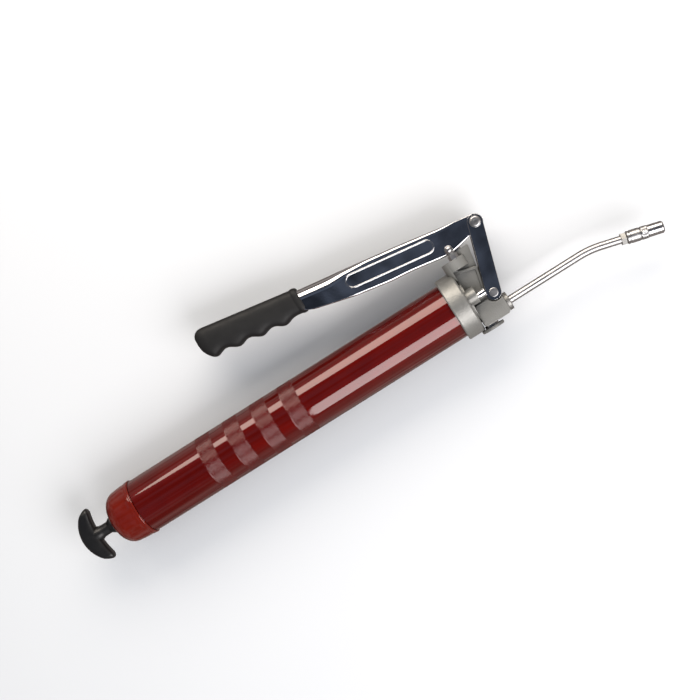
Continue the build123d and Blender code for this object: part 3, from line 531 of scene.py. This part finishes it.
# ================================================================ links
# Two flat steel links, blanked, tumbled and chromed, hold the lever's front pivot over the head.
# They swing on a plated pin in the casting's ear. The bleed stem and piston pin are as bright.
chrome = cast_or_plated("chrome_plate", (0.72, 0.73, 0.75), 1.0, 0.06, grain=300.0,
                        grain_height=0.00002, blotch=0.2, dark=(0.50, 0.51, 0.55), rough_swing=0.05,
                        wave=0.0011, bevel=0.00015)
dress(chrome, "link_plate_near", "link_plate_far", "bleed_stem", "piston_pin")

# ================================================================ lever
# One pressing of 2 mm steel, chromed: a channel, open to the barrel, that is square in front and
# rounds towards the grip. A long stadium bead is pressed into each side to stiffen it.
proud = 0.00006
cheek_z, sheet_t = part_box("lever")[1][2] + proud, 0.0020
web_front, mouth, tail = 0.0470, -0.1190, -0.2150
nose_x, nose_y, nose_r = 0.0642, 0.0615, 0.0080
top_x = np.array([tail, mouth, -0.0734, -0.0146, 0.0437, nose_x])
top_y = np.array([0.1148, 0.0989, 0.0922, 0.0830, 0.0727, nose_y + nose_r])
low_x = np.array([tail, -0.1240, -0.1170, -0.1117, -0.0922, -0.0727, -0.0339, -0.0145, 0.0269,
                  0.0337, 0.0528, nose_x])
low_y = np.array([0.0930, 0.0806, 0.0752, 0.0736, 0.0685, 0.0635, 0.0565, 0.0546, 0.0477, 0.0487,
                  0.0525, nose_y - nose_r])


def smoothed(x, at_x, at_y, reach):
    """A broken line rounded off: its mean over x - reach to x + reach."""
    spread = np.linspace(-reach, reach, 15)
    return np.mean([np.interp(x + s, at_x, at_y) for s in spread], axis=0)


def lever_top(x):
    """Height of the lever's back edge at x, with the round nose."""
    nose = nose_y + np.sqrt(np.clip(nose_r ** 2 - np.clip(x - nose_x, 0, None) ** 2, 1e-9, None))
    return np.where(x > nose_x, nose, smoothed(x, top_x, top_y, 0.003))


def lever_low_edge(x):
    """Height of the lever's open edge at x, with the round nose."""
    nose = nose_y - np.sqrt(np.clip(nose_r ** 2 - np.clip(x - nose_x, 0, None) ** 2, 1e-9, None))
    return np.where(x > nose_x, nose, smoothed(x, low_x, low_y, 0.004))


nose_turn = nose_x + nose_r * np.sin(np.radians(np.linspace(0, 88, 14)[1:]))
lever_x = np.concatenate([np.linspace(tail, mouth - 0.006, 12),
                          np.linspace(mouth - 0.003, web_front, 90),
                          np.linspace(web_front + 0.0015, nose_x, 10), nose_turn])
top, low = lever_top(lever_x), lever_low_edge(lever_x)
half_wide = np.interp(lever_x, [tail, mouth - 0.006, mouth - 0.002], [0.0093, 0.0093, cheek_z])
corner_r = np.interp(lever_x, [mouth, -0.088, -0.070, -0.045, 0.03, web_front],
                     [0.0110, 0.0105, 0.0070, 0.0040, 0.0028, 0.0006])
corner_r = np.minimum(corner_r, half_wide - 0.0012)
# The channel's section at each x: up the near cheek from its open edge, round the corner, across
# the web, and down the far cheek. Forward of web_front the web is left out, so only cheeks remain.
side_n, arc_n, web_n = 16, 9, 9
side_s = np.linspace(0, 1, side_n)
arc_a = np.linspace(0, np.pi / 2, arc_n)[1:]
web_s = np.linspace(0, 1, web_n)[1:]
rows = []
for sign in (1, -1):
    side_y = low[:, None] + (top - corner_r - low)[:, None] * side_s
    side_z = np.repeat(half_wide[:, None], side_n, 1)
    arc_y = (top - corner_r)[:, None] + corner_r[:, None] * np.sin(arc_a)
    arc_z = (half_wide - corner_r)[:, None] + corner_r[:, None] * np.cos(arc_a)
    half = np.stack([np.concatenate([side_y, arc_y], 1), sign * np.concatenate([side_z, arc_z], 1)], -1)
    rows.append(half)
web_z = (half_wide - corner_r)[:, None] * (1 - 2 * web_s[:-1])
web = np.stack([np.repeat(top[:, None], web_n - 2, 1), web_z], -1)
section = np.concatenate([rows[0], web, rows[1][:, ::-1]], 1)
grid = np.concatenate([np.repeat(lever_x[:, None, None], section.shape[1], 1), section], -1)
n_x, n_v = grid.shape[:2]
index = np.arange(n_x * n_v).reshape(n_x, n_v)
quads = np.stack([index[:-1, :-1], index[1:, :-1], index[1:, 1:], index[:-1, 1:]], -1)
keep = np.ones(quads.shape[:2], bool)
web_first, web_last = side_n + arc_n - 2, n_v - side_n - arc_n + 1
keep[lever_x[:-1] >= web_front - 1e-6, web_first:web_last] = False
lever_mesh = bpy.data.meshes.new("lever_channel")
lever_mesh.from_pydata(grid.reshape(-1, 3).tolist(), [], quads[keep].tolist())
lever_mesh.polygons.foreach_set("use_smooth", np.ones(len(lever_mesh.polygons), bool))
lever_piece = place("lever_channel", lever_mesh, chrome, "lever_arm", "chrome", "lever")
wall = lever_piece.modifiers.new("sheet", "SOLIDIFY")
wall.thickness, wall.offset = sheet_t, -1.0

# The pressed bead: two half circles joined by straights, closed round, with a flat oval carried
# along them and sunk to its middle in each cheek.
bead_a, bead_b, bead_half, bead_r = (-0.066, 0.0768), (0.012, 0.0656), 0.0066, 0.0005
line = np.array(bead_b) - np.array(bead_a)
length = np.hypot(*line)
ahead, aside = line / length, np.array([-line[1], line[0]]) / length
bend_a = np.radians(np.linspace(90, 270, 25))
bend_b = np.radians(np.linspace(-90, 90, 25))
ring_a = np.stack([bead_half * np.cos(bend_a), bead_half * np.sin(bend_a)], -1)
ring_b = np.stack([length + bead_half * np.cos(bend_b), bead_half * np.sin(bend_b)], -1)
path_local = np.concatenate([ring_a, ring_b])
path_xy = np.array(bead_a) + path_local[:, :1] * ahead + path_local[:, 1:] * aside
step = np.roll(path_xy, -1, 0) - np.roll(path_xy, 1, 0)
step /= np.linalg.norm(step, axis=1)[:, None]
outward = np.stack([step[:, 1], -step[:, 0]], -1)
bow = np.arange(16) * 2 * np.pi / 16
for bead_name, side in (("lever_bead_near", 1), ("lever_bead_far", -1)):
    ring_xy = path_xy[:, None] + bead_r * 1.5 * np.cos(bow)[None, :, None] * outward[:, None]
    ring_z = side * (cheek_z + bead_r * 0.75 * np.sin(bow))
    bead = np.concatenate([ring_xy, np.repeat(ring_z[None, :, None], len(path_xy), 0)], -1)
    bead_mesh = capped(ring_mesh(bead_name, bead))
    place(bead_name, bead_mesh, chrome, "lever_arm", "chrome")

# ================================================================ grip
# A matt black rubber sleeve pushed over the lever's tail, with a raised ring at its mouth and four
# finger swells underneath.
grip_low, grip_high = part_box("grip")
rubber = cast_or_plated("grip_rubber", (0.0065, 0.0065, 0.007), 0.0, 0.58, grain=1800.0,
                        grain_height=0.00005, blotch=0.5, dark=(0.013, 0.013, 0.013),
                        specular=0.35, bevel=0)
grip_mouth, grip_end = grip_high[0], grip_low[0]
swell_x = [-0.1455, -0.1706, -0.1954, -0.2204]
swell_tall, swell_wide, close_r, grip_half_z = 0.0046, 0.0078, 0.0115, 0.0128
top_mouth, top_rise, top_run = 0.1016, 0.0168, 0.0985
around = 64
# Along x the back is straight and the underside is a line less a bell curve for each finger. Each
# section is a rounded square, y^3.4 + z^3.4 = 1, and the end closes on a quarter circle.
grip_x = np.linspace(grip_mouth, grip_end, 150)
grip_top = top_mouth + top_rise * (grip_mouth - grip_x) / top_run
base_low = np.interp(-grip_x, [0.119, 0.124, 0.137, 0.1596, 0.1855, 0.2104, 0.230],
                     [0.0760, 0.0762, 0.0782, 0.0812, 0.0851, 0.0887, 0.0910])
swell = sum(swell_tall * np.exp(-((grip_x - s) / swell_wide) ** 2) for s in swell_x)
grip_under = base_low - swell + 0.0006
cut = np.clip(close_r - (grip_x - grip_end), 0, close_r) / close_r
pull = 1 - np.sqrt(np.clip(1 - cut ** 2, 0, 1))
middle, tall = (grip_top + grip_under) / 2, (grip_top - grip_under) / 2
tall = tall - pull * close_r * 0.98
wide = grip_half_z - pull * 0.0080
ring = np.clip(1 - np.abs(grip_x - (grip_mouth - 0.0030)) / 0.0030, 0, 1) ** 0.35 * 0.0009
v = np.arange(around) * 2 * np.pi / around
corner = 2 / 3.4
cross_y = np.sign(np.sin(v)) * np.abs(np.sin(v)) ** corner
cross_z = np.sign(np.cos(v)) * np.abs(np.cos(v)) ** corner
grip_pts = np.stack([np.repeat(grip_x[:, None], around, 1),
                     middle[:, None] + (tall + ring)[:, None] * cross_y,
                     (wide + ring)[:, None] * cross_z], -1)
place("grip_sleeve", capped(ring_mesh("grip_sleeve", grip_pts, closed_path=False)), rubber,
      "lever_arm", "grip_rubber", "grip")

# ================================================================ coupler sleeve
# A turned and zinc-plated steel sleeve that squeezes the jaws. Its rear is knurled for the fingers
# and its mouth is chamfered.
mouth_mount = next(m for m in frame["record"]["mounts"] if m["name"] == "nipple_socket")
mouth_at, mouth_axis = np.array(mouth_mount["pos_m"]), np.array(mouth_mount["axis"], float)
mouth_axis /= np.linalg.norm(mouth_axis)
across_axis = np.array([-mouth_axis[1], mouth_axis[0], 0.0])
socket_middle = 0.0339
sleeve_pitch, grip_r, sleeve_knurl = 0.0011, 0.0064, 0.00013
sleeve_steps = int(2 * round(2 * np.pi * grip_r / sleeve_pitch))
grip_rows = int(2 * round(0.0056 / sleeve_pitch))
# The profile is turned about the coupler's own axis: back along the outside from the mouth, then
# forward along the bore. The band's points are raised like a chessboard's, as on the barrel.
sleeve_u = np.concatenate([[0.0370, 0.0356, 0.0214, 0.0209], np.linspace(0.0207, 0.0151, grip_rows + 1),
                           [0.0149, 0.0143, 0.0143, 0.0224, 0.0224, 0.0325, 0.0340, 0.0370]])
sleeve_r = np.concatenate([[0.0050, 0.0061, 0.0061, grip_r], np.full(grip_rows + 1, grip_r),
                           [grip_r, 0.0060, 0.00505, 0.00505, 0.0053, 0.0053, 0.0048, 0.0048]])
sleeve_band = np.zeros(len(sleeve_u), bool)
sleeve_band[4:4 + grip_rows] = True
row, col = np.meshgrid(np.arange(len(sleeve_u)), np.arange(sleeve_steps), indexing="ij")
sleeve_knob = ((row + col) % 2) * sleeve_band[:, None] * sleeve_knurl
local = turned(sleeve_u, sleeve_r, sleeve_steps, sleeve_knob)
sleeve_points = (mouth_at + (local[..., :1] - socket_middle) * mouth_axis + local[..., 1:2] * across_axis
                 + local[..., 2:] * np.array([0.0, 0.0, 1.0]))
bright_zinc = cast_or_plated("bright_zinc", (0.58, 0.58, 0.585), 1.0, 0.24, grain=700.0,
                             grain_height=0.00002, blotch=0.25, dark=(0.36, 0.36, 0.35),
                             rough_swing=0.10, bevel=0)
place("coupler_sleeve_shell", ring_mesh("coupler_sleeve_shell", sleeve_points, faceted=sleeve_band),
      bright_zinc, "coupler_ring", "zinc", "coupler_sleeve", sharp=30)

# ================================================================ springs
# Round spring wire wound to a plain coil: the long follower spring in the barrel, and the small ones
# behind the bleed stem and the coupler's jaws.

def wound_wire(name, start, axis, length, coil_r, wire_r, pitch):
    """A round wire carried along a helix.

    The path is start + s L axis + R (cos 2 pi n s, sin 2 pi n s) in the plane square to the axis,
    with n turns at the stated pitch, and each section is a circle in the plane of the radial and
    the axis directions.
    """
    turns = (length - 2 * wire_r) / pitch
    axis = np.array(axis, float) / np.linalg.norm(axis)
    side = np.cross(axis, (0.0, 0.0, 1.0))
    side /= np.linalg.norm(side)
    other = np.cross(axis, side)
    part_way = np.linspace(0, 1, int(turns * 20) + 1)[:, None, None]
    wind = 2 * np.pi * turns * part_way
    radial = np.cos(wind) * side + np.sin(wind) * other
    bend = (np.arange(8) * 2 * np.pi / 8)[None, :, None]
    points = (np.array(start) + (wire_r + part_way * (length - 2 * wire_r)) * axis
              + (coil_r + wire_r * np.cos(bend)) * radial + wire_r * np.sin(bend) * axis)
    return capped(ring_mesh(name, points, closed_path=False))


def spring_piece(node, axis, back, length, coil_r, wire_r, pitch):
    """A coil in a CAD spring's place, wound from its back end."""
    mesh = wound_wire(node + "_coil", back, axis, length, coil_r, wire_r, pitch)
    coil = place(node + "_coil", mesh, spring_wire, "gun", "spring_steel", node)
    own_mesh(coil)


along_x = (1.0, 0.0, 0.0)
low, high = (np.array(c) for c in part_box("follower_spring"))
wire, pull_travel = 0.0011, 0.25
coil_back = (low[0], 0, 0)
spring_piece("follower_spring", along_x, coil_back, high[0] - low[0], high[2] - wire, wire, 0.015)

low, high = (np.array(c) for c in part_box("bleed_spring"))
wire, press_travel = 0.0003, 0.0014
coil_back = (low[0], (low[1] + high[1]) / 2, (low[2] + high[2]) / 2)
spring_piece("bleed_spring", along_x, coil_back, high[0] - low[0], (high[2] - low[2]) / 2 - wire,
             wire, 0.0009)

# the coupler's spring lies along its slanted axis, so its length is worked out from its box
low, high = (np.array(c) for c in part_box("coupler_spring"))
jaw_travel, end_share = 0.0016, 0.93
coil_len = (high[0] - low[0]) / mouth_axis[0] * end_share
coil_back = (low + high) / 2 - mouth_axis * coil_len / 2
spring_piece("coupler_spring", tuple(mouth_axis), coil_back, coil_len, 0.0028, 0.0004, 0.002)
